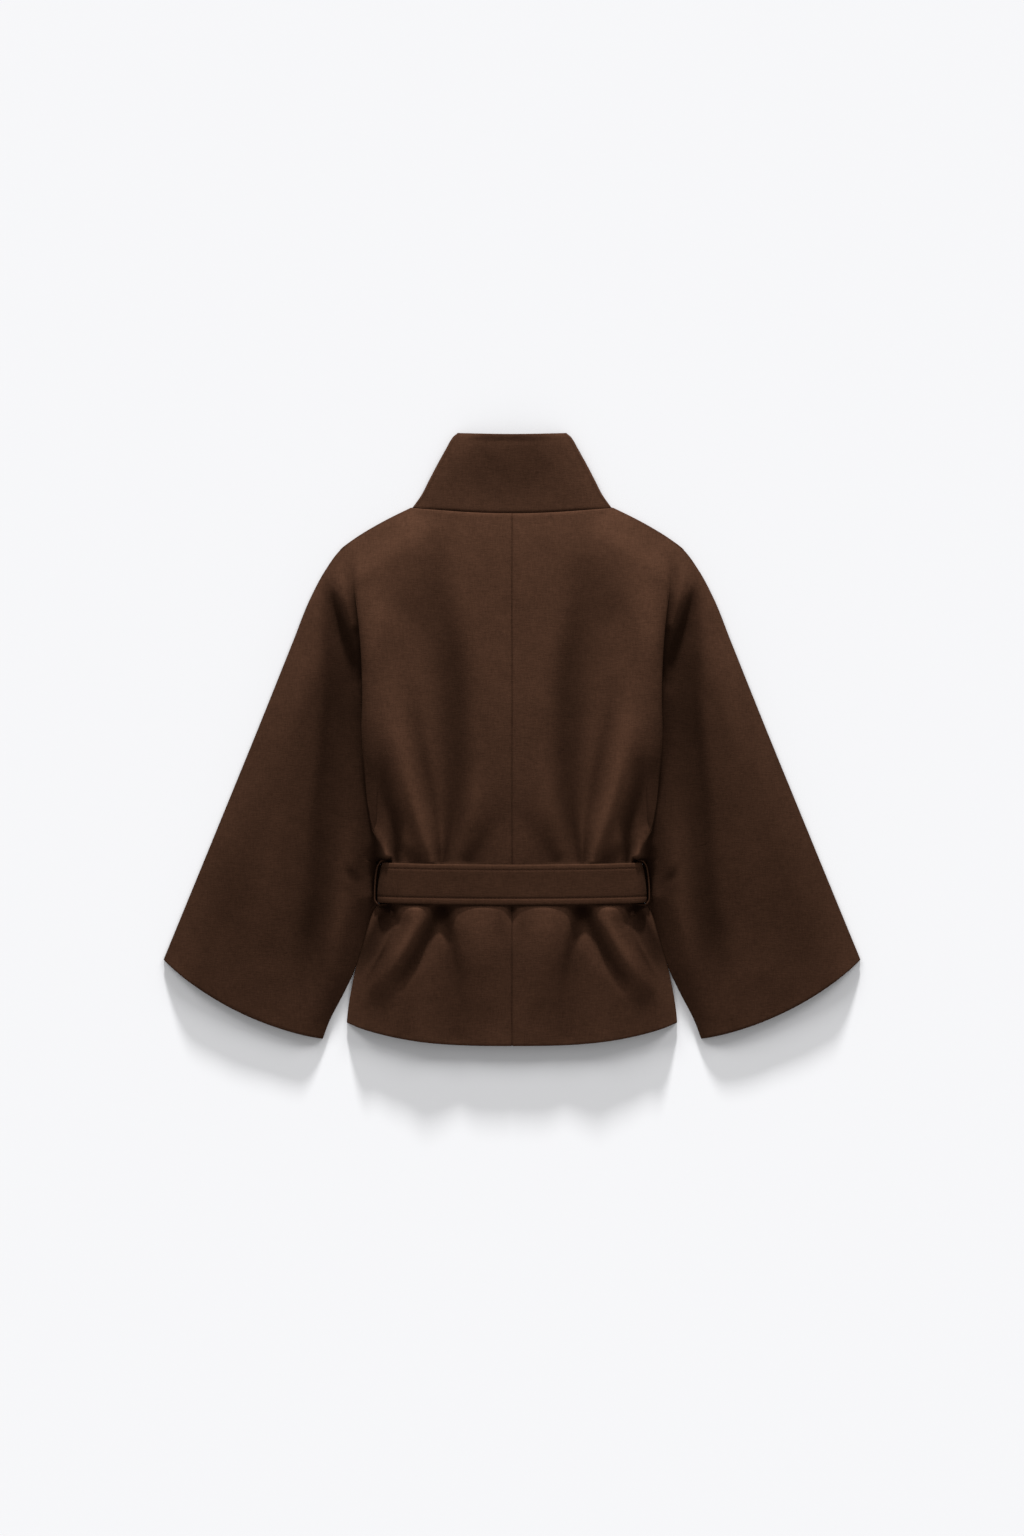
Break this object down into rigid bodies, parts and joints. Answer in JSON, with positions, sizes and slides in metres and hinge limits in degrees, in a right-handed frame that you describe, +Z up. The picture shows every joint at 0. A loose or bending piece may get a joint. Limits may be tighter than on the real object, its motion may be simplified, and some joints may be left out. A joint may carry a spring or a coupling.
{
  "type": "belted jacket",
  "caption": "Short wool jacket lying flat with its back up, with a funnel collar, wide sleeves cut in one with the body and a belt through loops.",
  "frame": {"origin": "on the surface that the jacket lies on, below the middle of its bounding box", "axes": "+Z up from the surface, +Y from the hem to the collar, +X to the wearer's right as the back is seen"},
  "size_m": [0.834, 0.7326, 0.0381],
  "materials": {
    "wool": "dark brown brushed wool",
    "belt_wool": "dark brown wool, stitched along both edges"
  },
  "bodies": {
    "root": {"back_left": "wool", "back_right": "wool", "front_left": "wool", "front_right": "wool", "collar": "wool", "belt": "belt_wool", "belt_loop_left": "belt_wool", "belt_loop_right": "belt_wool"}
  },
  "joints": []
}
